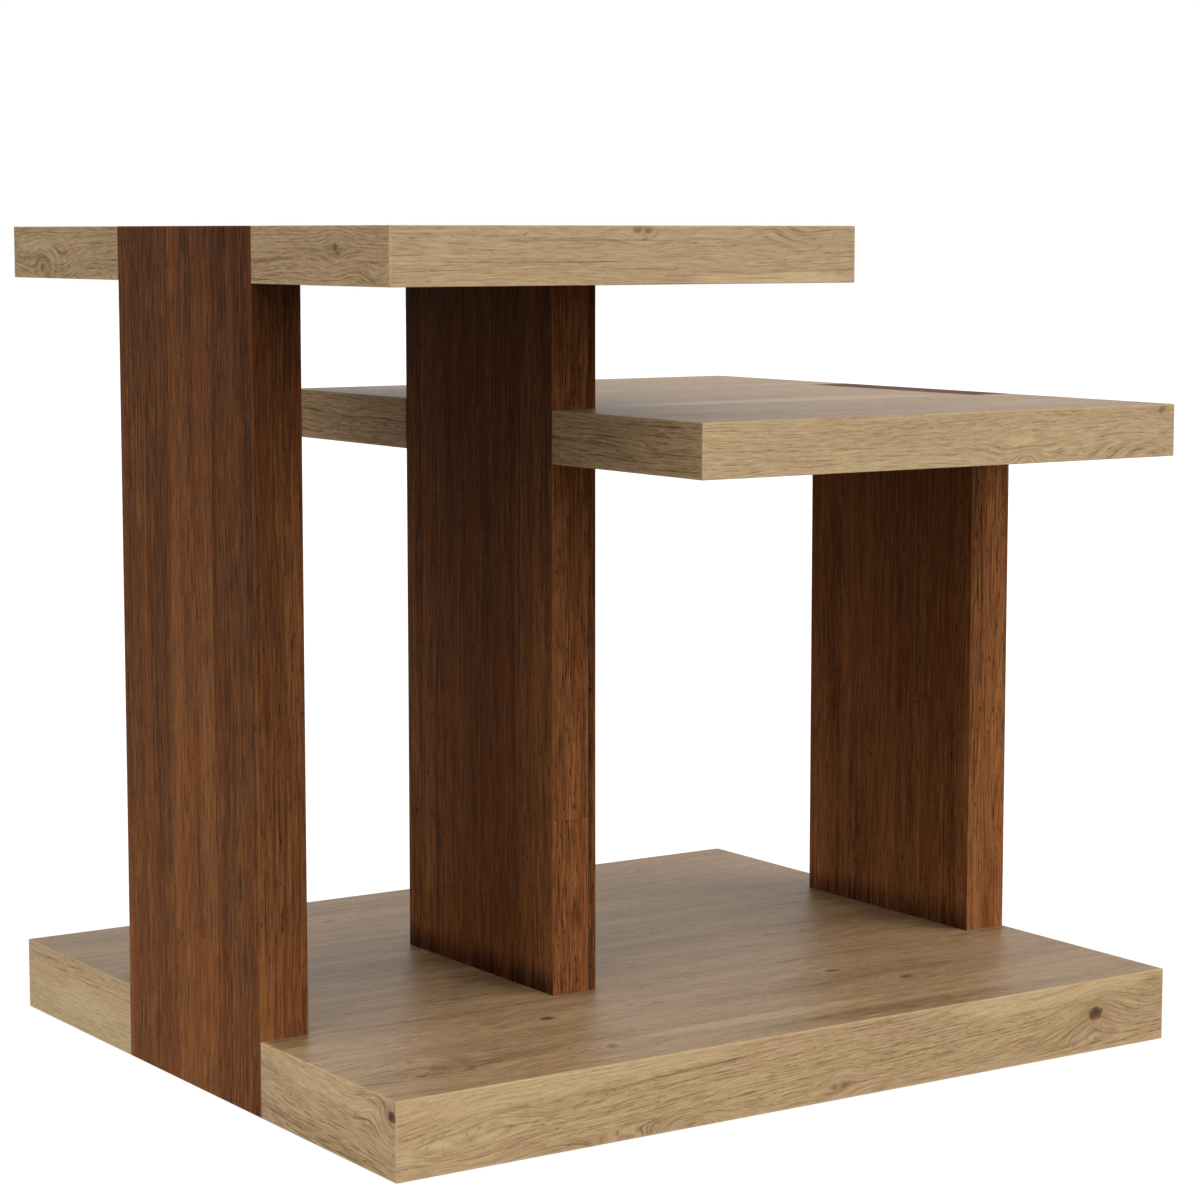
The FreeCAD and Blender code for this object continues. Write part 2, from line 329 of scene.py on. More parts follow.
@dataclass
class Stave:
    """A strip of a board: its limits across and along the grain, and its tone."""
    across: tuple
    along: tuple
    tone: float


@dataclass
class Board:
    """What is particular to one board. Tone is its lightness above the middle shade, fade is the rise in
    lightness along the grain, per metre from the board's middle, which on the posts is painted shade that
    darkens them towards their tops, tilt is the slope of the grain, the foot shade is painted shade, how
    much darker a post is just above the base, and figure is how strongly its grain shows."""
    knots: list = field(default_factory=list)
    bands: list = field(default_factory=list)
    arcs: list = field(default_factory=list)
    staves: list = field(default_factory=list)
    tone: float = 0.0
    fade: float = 0.0
    tilt: float = 0.0
    painted_foot_shade: float = 0.0
    figure: float = 1.0


# Veneer: the lightness of the middle shade, and how far the grain jumps between staves, per unit of tone
MIDDLE_LIGHTNESS = 0.5
STAVE_JUMP = 37.0

# Painted shade at the feet of the posts: the level of the base's upper face, and how far above it the posts
# are painted darker
FOOT_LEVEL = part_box("base_upper_panel")[1][2]
FOOT_SHADE_REACH = 0.024

# Layers of the noise, one for each use, and the step from board to board, so that all of them differ
WANDER_LAYER = 0.0
RIPPLE_LAYER = 11.0
SPACING_LAYER = 17.0
LINE_LAYER = 23.0
PORE_LAYER = 37.0
STREAK_LAYER = 41.0
TINT_LAYER = 61.0
BOARD_STEP = 3.7

# Bends of the grain: their roughness, and the length of the swell round a knot as a share of its width
BEND_ROUGHNESS = 0.5
SWELL_SHARE = 1.7

# Fine lines: the length, width in pitches, swing and detail of what varies their spacing, the step of the
# noise from line to line, and where they fade in
SPACING_LENGTH = 1.0
SPACING_PITCHES = 4
SPACING_SWING = 5.0
SPACING_DETAIL = 1.0
LINE_STEP = 1.73
LINE_FADE = (-0.2, 0.25)

# Bands and arcs: how far they waver with the grain, and where bands fade out and arcs fade in
BAND_WANDER = 1.5
BAND_RIPPLE = 2.0
BAND_FADE = (0.4, 1.2)
ARC_WANDER = 5.0
ARC_FADE = (-0.4, 1.0)

# Pores, sapwood and relief: where pores fade in, how strongly sapwood shows in pale bands, how much duller
# fibres and pores are, and how high fibres and lines stand
PORE_FADE = 0.16
SAPWOOD_SHARE = 0.2
FIBRE_DULLING = 0.15
PORE_DULLING = 0.15
FIBRE_HEIGHT = 0.7
LINE_HEIGHT = 0.4
BUMP_STRENGTH = 0.6

# Wear along the arrises, whose pale line is also a painted highlight: the scale, detail and roughness of
# its patches, how ragged it is, the distances between which it fades out, and how much duller it is
WEAR_AND_HIGHLIGHT_SCALE = 60.0
WEAR_AND_HIGHLIGHT_DETAIL = 3.0
WEAR_AND_HIGHLIGHT_ROUGHNESS = 0.6
WEAR_AND_HIGHLIGHT_RAG = 0.0030
WEAR_AND_HIGHLIGHT_FADE = (0.0004, 0.0020)
WEAR_DULLING = 0.12


@dataclass
class Zone:
    """One zone of a knot: its half length and half width, as shares of the knot's radius, how ragged it is,
    the squared distances, in those half sizes, between which it fades out, and how strongly it shows."""
    length_share: float
    width_share: float
    rag: float
    fade: tuple
    strength: float


KNOT_HALO = Zone(3.4, 2.2, 1.5, (0.1, 1.1), 0.6)
KNOT_CORE = Zone(1.4, 1.0, 2.4, (0.4, 1.2), 1.0)
KNOT_HEART = Zone(1.4, 1.0, 2.4, (0.0, 0.6), 0.9)
RAG_SCALE = 0.8
RAG_ROUGHNESS = 0.6


class Veneer:
    """The material of one lacquered board. Its grain runs along u, and its lines step across v. Run is the
    place along the grain, which jumps from stave to stave."""

    def __init__(self, name, wood, board, axes, seed):
        self.graph = Graph(bpy.data.materials.new(name))
        self.wood = wood
        self.board = board
        self.seed = seed
        self.place = self.graph.place()
        self.parted = self.graph.node("ShaderNodeSeparateXYZ", {"Vector": self.place})
        self.u = self.parted.outputs[axes[0]]
        self.v = self.parted.outputs[axes[1]]
        self.run = self.u

    def spot(self, along, across, layer):
        """A place in the noise."""
        inputs = {"X": along, "Y": across, "Z": self.seed + layer}
        return self.graph.node("ShaderNodeCombineXYZ", inputs).outputs[0]

    def marks(self, marks, layer, across, detail=2.0, roughness=0.6):
        """Noise whose marks have a given length along the grain and width across it."""
        graph = self.graph
        place = self.spot(graph.mul(self.run, 1 / marks.length), graph.mul(across, 1 / marks.width), layer)
        return graph.noise(place, detail, roughness)

    def oval(self, spot, half_length, half_width):
        """The squared distance from a spot, which is 1 on an oval of these half sizes along the grain."""
        graph = self.graph
        run = graph.sub(self.u, spot.along)
        rise = graph.scaled(run, -self.board.tilt, graph.sub(self.v, spot.across))
        return graph.squares(graph.mul(run, 1 / half_length), graph.mul(rise, 1 / half_width))

    def bell(self, spot, half_length, half_width):
        """1 at a spot, falling off smoothly over an oval."""
        squared_distance = self.oval(spot, half_length, half_width)
        return self.graph.math("POWER", math.e, self.graph.mul(squared_distance, -1.0))

    def start(self, middle):
        """Lightness from the board's tone, its fade and its foot shade, the last two painted shade on the
        posts. Each stave has its own tone and stretch of grain."""
        graph = self.graph
        lightness = MIDDLE_LIGHTNESS + self.board.tone
        # painted shade: the fade darkens the posts towards their tops, where the slabs shade them
        if self.board.fade:
            lightness = graph.scaled(graph.sub(self.u, middle), self.board.fade, lightness)
        # painted shade: the posts are darker just above the base, where it meets them
        if self.board.painted_foot_shade:
            shade = graph.step(self.u, FOOT_LEVEL, FOOT_LEVEL + FOOT_SHADE_REACH, -self.board.painted_foot_shade, 0.0)
            lightness = graph.add(lightness, shade)
        tones = 0.0
        for stave in self.board.staves:
            inside = graph.mul(graph.within(self.v, *stave.across), graph.within(self.u, *stave.along))
            tones = graph.scaled(inside, stave.tone, tones)
        if self.board.staves:
            lightness = graph.add(lightness, tones)
            self.run = graph.scaled(tones, STAVE_JUMP, self.u)
        return lightness

    def bend(self):
        """Works out the height across the grain, which wanders, parts round knots and turns into arcs."""
        graph = self.graph
        wood = self.wood
        self.wander = self.marks(wood.wander, WANDER_LAYER, self.v, roughness=BEND_ROUGHNESS)
        self.ripple = self.marks(wood.ripple, RIPPLE_LAYER, self.v, roughness=BEND_ROUGHNESS)
        bent = graph.scaled(self.u, -self.board.tilt, self.v)
        bent = graph.scaled(self.wander, NOISE_GAIN * wood.wander.depth, bent)
        bent = graph.scaled(self.ripple, NOISE_GAIN * wood.ripple.depth, bent)
        for knot in self.board.knots:
            reach = knot.radius * knot.reach
            swell = self.bell(knot, SWELL_SHARE * reach, reach)
            bent = graph.scaled(graph.mul(graph.sub(self.v, knot.across), swell), -knot.push, bent)
            if knot.lift:
                bent = graph.scaled(swell, -knot.lift, bent)
        for arcs in self.board.arcs:
            near = self.bell(arcs, arcs.half_length, arcs.half_width)
            bent = graph.scaled(graph.sub(self.ring(arcs), bent), near, bent)
        self.bent = bent

    def ring(self, arcs):
        """The distance from the centre of the arcs, as a height that equals the straight grain's at their
        middle."""
        graph = self.graph
        run = graph.mul(graph.sub(self.u, arcs.centre[0]), 1 / arcs.stretch)
        rise = graph.sub(self.v, arcs.centre[1])
        distance = graph.math("SQRT", graph.squares(run, rise))
        radius = math.hypot((arcs.along - arcs.centre[0]) / arcs.stretch, arcs.across - arcs.centre[1])
        way = -1.0 if arcs.centre[1] > arcs.across else 1.0
        middle = arcs.across - self.board.tilt * arcs.along
        height = graph.scaled(distance, way, middle - way * radius)
        return graph.scaled(self.ripple, NOISE_GAIN * self.wood.ripple.depth, height)

    def hairlines(self):
        """Fine dark lines, unevenly spaced, that come and go along the grain."""
        graph = self.graph
        wood = self.wood
        spacing = Marks(SPACING_LENGTH, SPACING_PITCHES * wood.line_pitch, SPACING_SWING)
        uneven = self.marks(spacing, SPACING_LAYER, self.bent, SPACING_DETAIL)
        lines = graph.scaled(uneven, spacing.depth, graph.mul(self.bent, 1 / wood.line_pitch))
        number = graph.math("FLOOR", lines)
        off_middle = graph.math("ABSOLUTE", graph.sub(graph.math("FRACT", lines), 1 / 2))
        line = graph.step(off_middle, 0.0, wood.line_share / 2, 1.0, 0.0)
        run = graph.mul(self.run, 1 / wood.line_length)
        place = self.spot(run, graph.mul(number, LINE_STEP), LINE_LAYER)
        return graph.mul(line, graph.step(graph.noise(place), *LINE_FADE))

    def grain(self, lightness):
        """Lightness with fine lines, streaks of fibres and pores."""
        graph = self.graph
        wood = self.wood
        figure = self.board.figure
        self.line = self.hairlines()
        lightness = graph.scaled(self.line, -wood.line_depth * figure, lightness)
        for count, marks in enumerate(wood.streaks):
            self.fibres = self.marks(marks, STREAK_LAYER + count, self.bent)
            lightness = graph.scaled(self.fibres, marks.depth * figure, lightness)
        dashes = self.marks(wood.pores, PORE_LAYER, self.bent)
        self.pores = graph.step(dashes, wood.pore_level, wood.pore_level + PORE_FADE)
        return graph.scaled(self.pores, -wood.pores.depth * figure, lightness)

    def bands(self, lightness):
        """Lightness with the board's pale and dark streaks. Keeps where the pale ones lie."""
        graph = self.graph
        self.pale = None
        for band in self.board.bands:
            edge = self.oval(band, band.half_length, band.half_width)
            edge = graph.scaled(self.ripple, BAND_RIPPLE, graph.scaled(self.wander, BAND_WANDER, edge))
            mask = graph.step(edge, *BAND_FADE, 1.0, 0.0)
            lightness = graph.scaled(mask, band.lift, lightness)
            if band.lift > 0:
                self.pale = mask if self.pale is None else graph.math("MAXIMUM", self.pale, mask)
        return lightness

    def arcs(self, lightness):
        """Lightness with the thin dark arcs of growth rings."""
        graph = self.graph
        for arcs in self.board.arcs:
            turns = graph.mul(self.ring(arcs), math.tau / arcs.pitch)
            wave = graph.math("SINE", graph.scaled(self.wander, ARC_WANDER, turns))
            near = self.bell(arcs, arcs.half_length, arcs.half_width)
            lightness = graph.scaled(graph.mul(graph.step(wave, *ARC_FADE), near), -arcs.depth, lightness)
        return lightness

    def stain(self, lightness):
        """The colour of a lightness, with redder streaks, and sapwood in the pale bands."""
        graph = self.graph
        wood = self.wood
        base = graph.ramp(lightness, list(zip(SHADE_SHARES, wood.shades)))
        tint = self.marks(wood.tint_marks, TINT_LAYER, self.bent)
        tint = graph.math("MULTIPLY", tint, wood.tint_marks.depth, clamp=True)
        base = graph.mix(tint, base, wood.tint)
        if self.pale is not None:
            base = graph.mix(graph.mul(self.pale, SAPWOOD_SHARE), base, wood.sapwood)
        return base

    def knots(self, base):
        """Colour with the knots: a soft brown halo, a dark ragged core and a darker heart."""
        graph = self.graph
        darkest, dark = self.wood.shades[:2]
        zones = ((KNOT_HALO, dark), (KNOT_CORE, darkest), (KNOT_HEART, self.wood.knot))
        for knot in self.board.knots:
            if not knot.shade:
                continue
            rag = graph.noise(self.place, roughness=RAG_ROUGHNESS, scale=RAG_SCALE / knot.radius)
            for zone, shade in zones:
                edge = self.oval(knot, zone.length_share * knot.radius, zone.width_share * knot.radius)
                edge = graph.scaled(rag, zone.rag, edge)
                mask = graph.step(edge, *zone.fade, zone.strength * knot.shade, 0.0)
                base = graph.mix(mask, base, shade)
        return base

    def worn_and_highlit(self, arrises):
        """Where the arrises are rubbed, with a painted highlight: a narrow broken pale line along each."""
        graph = self.graph
        nearest = None
        for axis, edge in arrises:
            distance = graph.math("ABSOLUTE", graph.sub(self.parted.outputs[axis], edge))
            nearest = distance if nearest is None else graph.math("MINIMUM", nearest, distance)
        patchy = graph.noise(self.place, WEAR_AND_HIGHLIGHT_DETAIL, WEAR_AND_HIGHLIGHT_ROUGHNESS, WEAR_AND_HIGHLIGHT_SCALE)
        return graph.step(graph.scaled(patchy, -WEAR_AND_HIGHLIGHT_RAG, nearest), *WEAR_AND_HIGHLIGHT_FADE, 1.0, 0.0)

    def material(self, middle, arrises):
        """The material of a board with a given middle along its grain, rubbed along some arrises, where a
        painted highlight lies.
        """
        graph = self.graph
        wood = self.wood
        lightness = self.start(middle)
        self.bend()
        lightness = self.arcs(self.bands(self.grain(lightness)))
        base = self.knots(self.stain(lightness))
        rough = graph.scaled(self.pores, PORE_DULLING, wood.roughness)
        rough = graph.scaled(self.fibres, FIBRE_DULLING, rough)
        if arrises:
            wear_and_highlight = self.worn_and_highlit(arrises)
            # the pale line along the arrises is wear and also a painted highlight
            base = graph.mix(graph.mul(wear_and_highlight, wood.wear_and_highlight_share), base, wood.sapwood)
            rough = graph.scaled(wear_and_highlight, WEAR_DULLING, rough)
        sunk = graph.scaled(self.line, LINE_HEIGHT, self.pores)
        height = graph.sub(graph.mul(self.fibres, FIBRE_HEIGHT), sunk)
        return graph.finish({
            "Base Color": base, "Roughness": rough, "Specular IOR Level": wood.specular,
            "Normal": graph.bump(BUMP_STRENGTH, wood.relief, height)})


# Fasteners and glides
@dataclass
class Hardware:
    """The look of a fastener or a glide: its two colours, the detail of the mottle that mixes them, how
    many spots that has per metre, its roughness and how much the mottle adds, its relief, and how metallic
    it is."""
    dark: tuple
    pale: tuple
    detail: float
    spots: float
    roughness: float
    roughness_rise: float
    relief: float
    metallic: float


# Zinc plating is pale with a faint crystal mottle, and moulded nylon is dark with a fine grain
HARDWARE = {
    "zinc_plated_steel": Hardware(
        colour(150, 152, 150), colour(206, 206, 200), detail=4.0, spots=900.0,
        roughness=0.25, roughness_rise=0.2, relief=0.3, metallic=1.0),
    "nylon": Hardware(
        colour(34, 31, 29), colour(52, 48, 45), detail=3.0, spots=2500.0,
        roughness=0.45, roughness_rise=0.15, relief=0.4, metallic=0.0),
}
MOTTLE_ROUGHNESS = 0.6
MOTTLE_HEIGHT = 0.00005


def hardware_material(name, look):
    """The material of a fastener or a glide."""
    graph = Graph(bpy.data.materials.new(name))
    mottle = graph.noise(graph.place(), look.detail, MOTTLE_ROUGHNESS, look.spots)
    mottle = graph.add(mottle, NOISE_MIDDLE)
    return graph.finish({
        "Base Color": graph.mix(mottle, look.dark, look.pale), "Metallic": look.metallic,
        "Roughness": graph.scaled(mottle, look.roughness_rise, look.roughness),
        "Normal": graph.bump(look.relief, MOTTLE_HEIGHT, mottle)})


# The marks of each board. Staves of one strip meet in a butt joint, and a limit that lies beyond every
# board stands for the board's end.
BEYOND = 1.0
WHOLE_LENGTH = (-BEYOND, BEYOND)
LEFT_BUTT = 0.110
MIDDLE_BUTT = 0.181

# Staves of the post faces that are turned away from the camera
HIDDEN_STAVES = [Stave((0.052, 0.101), WHOLE_LENGTH, 0.05), Stave((0.012, 0.052), WHOLE_LENGTH, -0.05),
                 Stave((-0.038, 0.012), WHOLE_LENGTH, 0.02), Stave((-0.060, -0.038), WHOLE_LENGTH, -0.07)]

BOARDS = {
    "base_front_lipping": Board(
        knots=[Knot(0.263, 0.0295, 0.0054, 0.80, 3.4, 0.3, 0.016),
               Knot(0.020, 0.010, 0.0026, 0.30, 4.0, 0.6), Knot(0.029, 0.0105, 0.0022, 0.30, 4.0, 0.6),
               Knot(-0.298, 0.0205, 0.0035, 0.0, 3.0, 0.5), Knot(-0.261, 0.0205, 0.0060, 0.0, 3.0, 0.6)],
        bands=[Band(-0.190, 0.051, 0.180, 0.012, 0.06), Band(-0.298, 0.0205, 0.010, 0.0036, 0.09),
               Band(-0.261, 0.0205, 0.017, 0.0065, 0.05), Band(-0.322, 0.0145, 0.010, 0.0032, 0.12),
               Band(-0.244, 0.0365, 0.014, 0.0022, -0.16), Band(-0.290, 0.0105, 0.030, 0.0010, -0.18),
               Band(-0.100, 0.0410, 0.060, 0.0009, -0.20), Band(0.230, 0.050, 0.110, 0.010, 0.14),
               Band(0.310, 0.012, 0.020, 0.0010, -0.18)],
        arcs=[Arcs((-0.084, -0.006), 0.0075, 1.7, -0.120, 0.003, 0.050, 0.007)],
        tone=-0.03, tilt=0.05, figure=0.85),
    "base_left_front_lipping": Board(
        knots=[Knot(-0.2775, 0.0427, 0.0038, 0.9, 5.0, 0.8)],
        bands=[Band(-0.190, 0.046, 0.100, 0.010, 0.09), Band(-0.170, 0.008, 0.090, 0.010, -0.10)],
        arcs=[Arcs((-0.280, 0.043), 0.0060, 1.4, -0.266, 0.036, 0.024, 0.016)],
        tilt=0.05, figure=1.2),
    "base_left_back_lipping": Board(
        bands=[Band(0.190, 0.048, 0.120, 0.011, -0.07), Band(0.190, 0.022, 0.080, 0.013, 0.07)],
        tone=0.14),
    "base_upper_panel": Board(
        knots=[Knot(-0.134, -0.154, 0.0045, 0.8), Knot(-0.137, -0.243, 0.0052, 0.55),
               Knot(-0.273, -0.203, 0.0040, 0.4), Knot(0.122, -0.150, 0.0045, 0.75),
               Knot(0.157, -0.195, 0.0055, 0.7), Knot(0.156, -0.026, 0.0055, 0.35),
               Knot(-0.106, 0.207, 0.0045, 0.4), Knot(-0.063, -0.154, 0.0030, 0.35),
               Knot(-0.263, -0.228, 0.0080, 0.35), Knot(0.227, 0.240, 0.0040, 0.35)],
        # The three bands centred on the posts are painted shade: dark ovals on the base round the feet of
        # the posts.
        bands=[Band(-0.250, -0.228, 0.080, 0.011, -0.08), Band(0.080, -0.262, 0.100, 0.010, -0.07),
               Band(-0.020, -0.235, 0.120, 0.008, 0.05), Band(-0.3115, 0.0, 0.050, 0.110, -0.12),
               Band(-0.0755, 0.0, 0.050, 0.110, -0.14), Band(0.3115, 0.0, 0.050, 0.110, -0.14)],
        # painted shade: the low tone keeps this upper face darker than the lippings
        tone=-0.24),
    "top_front_lipping": Board(
        knots=[Knot(-0.146, 0.6005, 0.0030, 0.40, 4.0, 0.6), Knot(-0.137, 0.5995, 0.0026, 0.35, 4.0, 0.6)],
        bands=[Band(-0.035, 0.5675, 0.070, 0.0056, 0.24), Band(-0.048, 0.5680, 0.024, 0.0009, -0.40),
               Band(-0.190, 0.5930, 0.075, 0.0008, -0.20), Band(-0.220, 0.5795, 0.090, 0.0008, -0.20)],
        arcs=[Arcs((0.010, 0.610), 0.0050, 2.6, -0.026, 0.598, 0.022, 0.008, 0.18)],
        tone=0.06, figure=0.85),
    "top_left_front_lipping": Board(
        knots=[Knot(-0.2145, 0.5890, 0.0028, 0.55, 5.0, 0.7), Knot(-0.2180, 0.5850, 0.0018, 0.5, 4.0, 0.6)],
        arcs=[Arcs((-0.230, 0.556), 0.0060, 1.8, -0.252, 0.571, 0.022, 0.009)],
        tone=-0.05),
    "top_left_back_lipping": Board(
        knots=[Knot(0.230, 0.572, 0.0036, 0.28, 5.0, 0.8)],
        bands=[Band(0.240, 0.590, 0.030, 0.006, 0.10)],
        arcs=[Arcs((0.230, 0.572), 0.0060, 1.8, 0.222, 0.578, 0.036, 0.014, 0.14)],
        tone=-0.08),
    "shelf_front_lipping": Board(
        knots=[Knot(0.183, 0.4528, 0.0050, 0.0, 3.0, 0.7), Knot(0.317, 0.4700, 0.0032, 0.4, 4.0, 0.7)],
        bands=[Band(0.183, 0.4528, 0.012, 0.0040, 0.08)],
        arcs=[Arcs((0.187, 0.432), 0.0055, 1.5, 0.190, 0.441, 0.022, 0.006),
              Arcs((0.345, 0.425), 0.0070, 2.6, 0.275, 0.441, 0.036, 0.006, 0.22),
              Arcs((-0.036, 0.428), 0.0055, 2.2, -0.038, 0.442, 0.030, 0.006)],
        tone=0.10),
    # painted shade: the two left lippings of the shelf, between the posts and under the top, are made
    # darker
    "shelf_left_front_lipping": Board(tone=-0.12),
    "shelf_left_back_lipping": Board(tone=-0.12),
    "shelf_upper_panel": Board(
        knots=[Knot(0.210, 0.120, 0.0042, 0.5), Knot(0.020, -0.200, 0.0038, 0.45)],
        bands=[Band(0.120, -0.080, 0.160, 0.020, 0.06)],
        # painted shade: the low tone keeps this upper face darker than the lippings
        tone=-0.27),
    # The fades and feet of the post boards are painted shade: darker towards the tops, under the slabs, and
    # just above the base.
    "left_post_outer_panel": Board(
        staves=[Stave((0.024, 0.061), WHOLE_LENGTH, -0.03),
                Stave((-0.040, 0.024), (LEFT_BUTT, BEYOND), 0.07),
                Stave((-0.040, 0.022), (-BEYOND, LEFT_BUTT), 0.13),
                Stave((-0.047, -0.040), WHOLE_LENGTH, -0.15), Stave((-0.101, -0.047), WHOLE_LENGTH, -0.11)],
        tone=0.03, fade=-0.42, figure=1.5),
    "left_post_front_lipping": Board(tone=-0.03, fade=-0.60),
    "middle_post_left_panel": Board(
        staves=[Stave((0.035, 0.0788), WHOLE_LENGTH, 0.03), Stave((-0.0032, 0.035), WHOLE_LENGTH, -0.02),
                Stave((-0.0199, -0.0032), WHOLE_LENGTH, 0.03),
                Stave((-0.0364, -0.0199), WHOLE_LENGTH, 0.01),
                Stave((-0.0513, -0.0364), WHOLE_LENGTH, -0.07),
                Stave((-0.101, -0.0513), WHOLE_LENGTH, 0.02)],
        tone=0.02, fade=-0.50, painted_foot_shade=0.50, figure=1.4),
    "middle_post_front_lipping": Board(
        staves=[Stave((-0.094, -0.0637), (MIDDLE_BUTT, BEYOND), 0.11),
                Stave((-0.094, -0.0637), (-BEYOND, MIDDLE_BUTT), 0.14),
                Stave((-0.0637, -0.057), WHOLE_LENGTH, -0.14)],
        fade=-0.25, figure=1.5),
    "right_post_cap": Board(tone=-0.20),
    "right_post_front_lipping": Board(tone=0.25, fade=-0.50, figure=1.8),
    "right_post_inner_panel": Board(
        staves=[Stave((0.0313, 0.0614), WHOLE_LENGTH, -0.02), Stave((-0.0008, 0.0313), WHOLE_LENGTH, 0.02),
                Stave((-0.101, -0.0008), WHOLE_LENGTH, -0.02)],
        tone=0.19, fade=-0.20, painted_foot_shade=0.38, figure=1.35),
    "top_upper_panel": Board(
        knots=[Knot(-0.210, -0.130, 0.0045, 0.6), Knot(-0.060, 0.150, 0.0040, 0.5),
               Knot(-0.255, 0.205, 0.0034, 0.45)],
        bands=[Band(-0.160, 0.060, 0.160, 0.020, 0.07), Band(-0.100, -0.200, 0.140, 0.015, -0.07)],
        # painted shade: the low tone keeps this upper face darker than the lippings
        tone=-0.20),
    "left_post_inner_panel": Board(staves=HIDDEN_STAVES),
    "middle_post_right_panel": Board(staves=HIDDEN_STAVES, painted_foot_shade=0.40),
    "right_post_outer_panel": Board(staves=HIDDEN_STAVES),
    "base_back_lipping": Board(
        knots=[Knot(-0.150, 0.0280, 0.0046, 0.7, 3.6, 0.3, 0.013), Knot(0.214, 0.0150, 0.0030, 0.5)],
        bands=[Band(0.060, 0.0500, 0.150, 0.010, 0.12), Band(-0.260, 0.0120, 0.060, 0.008, 0.10)],
        tilt=-0.04),
    "base_right_front_lipping": Board(bands=[Band(-0.200, 0.0180, 0.090, 0.009, 0.10)], tilt=0.06),
    "base_right_back_lipping": Board(
        knots=[Knot(0.172, 0.0380, 0.0040, 0.6)],
        bands=[Band(0.215, 0.0500, 0.080, 0.008, 0.10)],
        tilt=-0.03),
    "top_back_lipping": Board(
        knots=[Knot(-0.246, 0.5720, 0.0030, 0.5)], bands=[Band(-0.100, 0.5980, 0.110, 0.006, 0.12)]),
    "top_right_lipping": Board(
        knots=[Knot(0.106, 0.5860, 0.0036, 0.55)], bands=[Band(-0.120, 0.5690, 0.120, 0.006, 0.12)]),
    "shelf_back_lipping": Board(
        knots=[Knot(0.052, 0.4600, 0.0034, 0.5)],
        bands=[Band(0.220, 0.4400, 0.080, 0.006, 0.12)],
        tone=0.04),
}


# Dressing each node: its slot, the wood of each slot for faces and for edges, the slots that are veneered,
# and how close two places are that count as one
SLOTS = {part["node"]: part["material_slot"] for part in frame["record"]["subparts"]}
FACE_WOODS = {"oak": OAK_FACE, "walnut": WALNUT_FACE, "core_softwood": PINE, "beech": PINE}
EDGE_WOODS = {"oak": OAK_EDGE, "walnut": WALNUT_EDGE, "core_softwood": PINE, "beech": PINE}
VENEERS = ("oak", "walnut")
AXES = "XYZ"
SAME_PLACE = 0.0005


def grain_axes(node, slot):
    """The axes along and across a board's grain."""
    low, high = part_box(node)
    if "_post_" in node:
        if node.endswith("_cap"):
            return ("Y", "X")
        return ("Z", "Y") if node.endswith("_panel") else ("Z", "X")
    if node.endswith("_panel"):
        return ("X", "Y")
    if slot == "oak":
        return ("X", "Z") if high[0] - low[0] > high[1] - low[1] else ("Y", "Z")
    if node.endswith("_long_rails"):
        return ("X", "Y")
    return ("Z", "X") if node == "dowels" else ("Y", "X")


def outer_arrises(node, axes):
    """The edges of a board that are also outer edges of its slab or post, as (axis, place) pairs. The lower
    ends of the posts are left out, because nothing rubs them."""
    slab = node.split("_")[0] + ("_post" if "_post_" in node else "")
    boxes = [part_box(name) for name in SLOTS if name.startswith(slab + "_")]
    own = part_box(node)
    edges = []
    for axis in axes:
        number = AXES.index(axis)
        for end, outermost in ((0, min), (1, max)):
            if axis == "Z" and end == 0 and "_post_" in node:
                continue
            place = own[end][number]
            if abs(place - outermost(box[end][number] for box in boxes)) < SAME_PLACE:
                edges.append((axis, place))
    return edges


def dress(node, number):
    """The material of one node."""
    slot = SLOTS[node]
    if slot in HARDWARE:
        return hardware_material(node, HARDWARE[slot])
    axes = grain_axes(node, slot)
    woods = FACE_WOODS if node.endswith("_panel") else EDGE_WOODS
    low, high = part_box(node)
    along = AXES.index(axes[0])
    middle = (low[along] + high[along]) / 2
    arrises = outer_arrises(node, axes) if slot in VENEERS else []
    veneer = Veneer(node, woods[slot], BOARDS.get(node, Board()), axes, BOARD_STEP * number)
    return veneer.material(middle, arrises)


for number, (node, piece) in enumerate(sorted(frame["nodes"].items())):
    material = dress(node, number)
    for slot in piece.material_slots:
        slot.material = material


# Floor, light and camera
def seen_directly(graph):
    """1 for camera, glossy and transmission rays."""
    path = graph.node("ShaderNodeLightPath")
    seen = graph.math("MAXIMUM", path.outputs["Is Camera Ray"], path.outputs["Is Glossy Ray"])
    return graph.math("MAXIMUM", seen, path.outputs["Is Transmission Ray"])


def floor():
    """A pale sweep. It shows white with the table's shadow on it, and sends a little light back near the
    table, as a painted pool of light: its colour for bounced light is paler near the table."""
    bpy.ops.mesh.primitive_plane_add(size=FLOOR_SIDE)
    plane = bpy.context.object
    plane.name = "floor"
    graph = Graph(bpy.data.materials.new("floor"))
    shadow = graph.node("ShaderNodeBsdfDiffuse", {"Color": (SHADOW_GREY, SHADOW_GREY, SHADOW_GREY, 1.0)})
    glow = graph.node("ShaderNodeEmission", {"Color": WHITE, "Strength": FLOOR_GLOW})
    lit = graph.node("ShaderNodeAddShader", {0: shadow.outputs[0], 1: glow.outputs[0]})
    # painted pool of light: for bounced light the floor is paler near the table and dark beyond
    distance = graph.node("ShaderNodeVectorMath", {0: graph.place()}, operation="LENGTH").outputs["Value"]
    level = graph.step(distance, *BOUNCE_REACH, *BOUNCE_SHARES)
    painted_pool_bounce = graph.node("ShaderNodeBsdfDiffuse", {"Color": level})
    shader = graph.node("ShaderNodeMixShader", {
        0: seen_directly(graph), 1: painted_pool_bounce.outputs[0], 2: lit.outputs[0]})
    graph.node("ShaderNodeOutputMaterial", {"Surface": shader.outputs[0]})
    plane.data.materials.append(graph.owner)


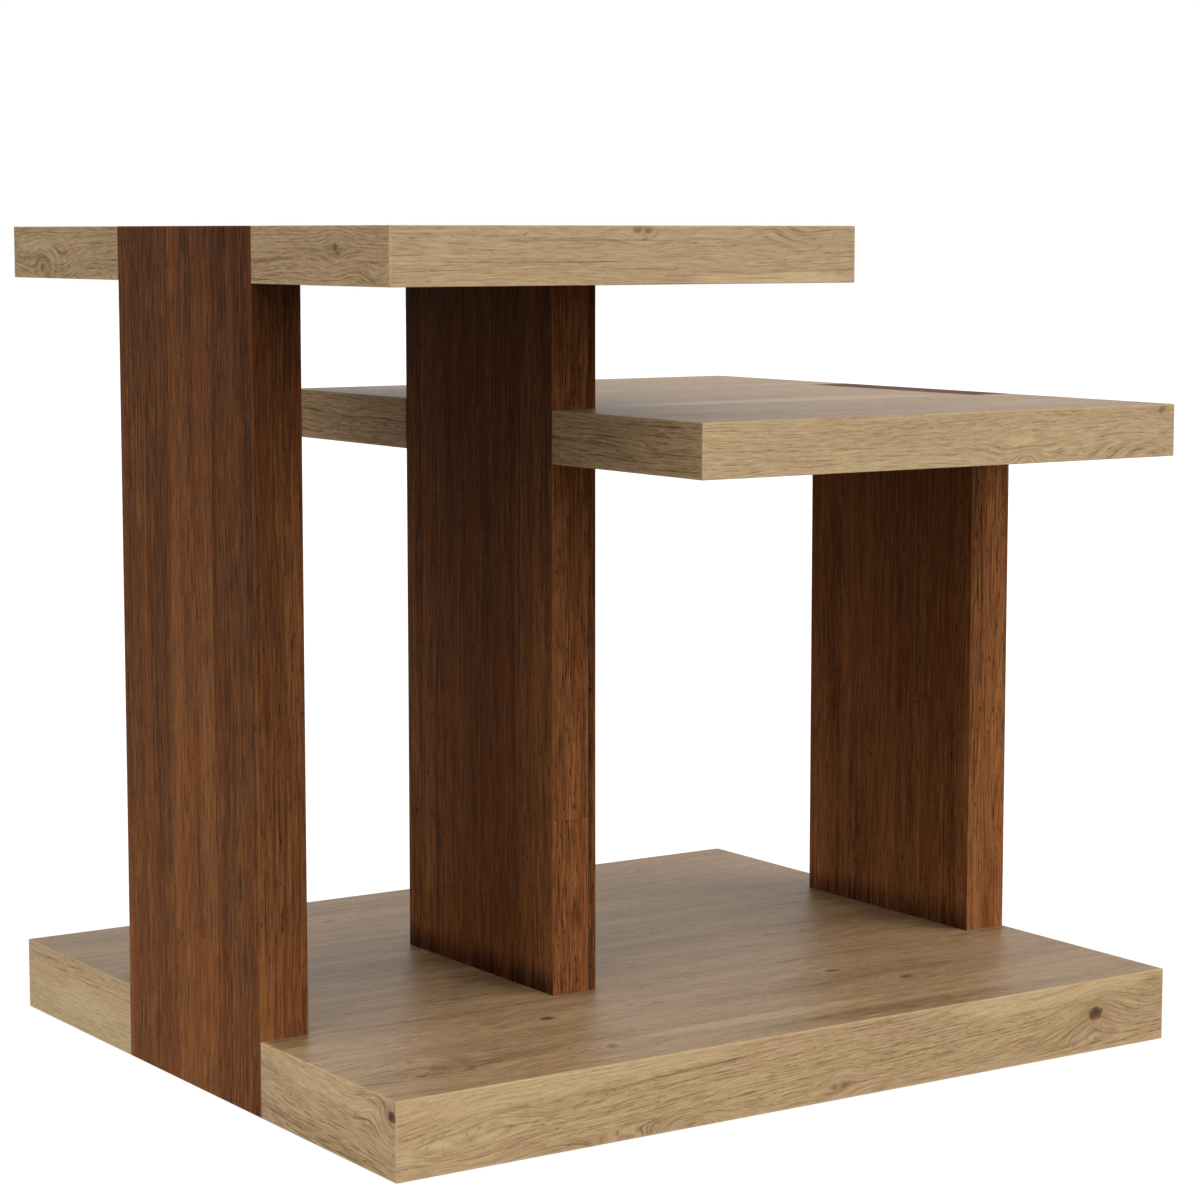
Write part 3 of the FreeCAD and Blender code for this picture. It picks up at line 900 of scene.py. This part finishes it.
def lamp_glow(graph, way, level, lamp, others):
    """Adds the glow of a lamp to that of others. Level is how much of each way's length lies level."""
    turn = math.radians(lamp.way)
    facing = graph.scaled(way.outputs["X"], math.sin(turn), graph.mul(way.outputs["Y"], -math.cos(turn)))
    facing = graph.math("MAXIMUM", graph.math("DIVIDE", facing, level), 0.0)
    return graph.scaled(graph.math("POWER", facing, lamp.sharpness), lamp.strength, others)


def studio_world():
    """Soft lamps at half height in front and on the left, faint ones behind and on the right, and plain
    white where it shows."""
    world = bpy.data.worlds.new("studio")
    bpy.context.scene.world = world
    graph = Graph(world)
    direction = graph.node("ShaderNodeTexCoord").outputs["Generated"]
    way = graph.node("ShaderNodeSeparateXYZ", {"Vector": direction})
    height = way.outputs["Z"]
    square = graph.scaled(graph.mul(height, height), -1.0, 1.0)
    level = graph.math("SQRT", graph.math("MAXIMUM", square, LEAST_SQUARE))
    glow = 0.0
    for lamp in (KEY_LAMP, LEFT_LAMP, BACK_LAMP, RIGHT_LAMP):
        glow = lamp_glow(graph, way, level, lamp, glow)
    glow = graph.mul(glow, graph.step(height, *RISE_SHARES, *RISE_LEVELS))
    glow = graph.mul(glow, graph.step(height, *FALL_SHARES, *FALL_LEVELS))
    glow = graph.add(glow, FILL_LIGHT)
    mixed = graph.node("ShaderNodeMix", {"Factor": seen_directly(graph), "A": glow, "B": 1.0})
    shader = graph.node("ShaderNodeBackground", {"Color": WHITE, "Strength": mixed.outputs[0]})
    graph.node("ShaderNodeOutputWorld", {"Surface": shader.outputs[0]})


def camera():
    """The camera, level but for its pitch."""
    data = bpy.data.cameras.new("camera")
    data.sensor_width = SENSOR_WIDTH
    data.lens = CAMERA_LENS
    view = bpy.data.objects.new("camera", data)
    bpy.context.collection.objects.link(view)
    view.location = CAMERA_PLACE
    view.rotation_euler = (math.radians(LEVEL_TURN + CAMERA_PITCH), 0.0, math.radians(-CAMERA_YAW))
    bpy.context.scene.camera = view


floor()
studio_world()
camera()
bpy.context.scene.view_settings.view_transform = "Standard"
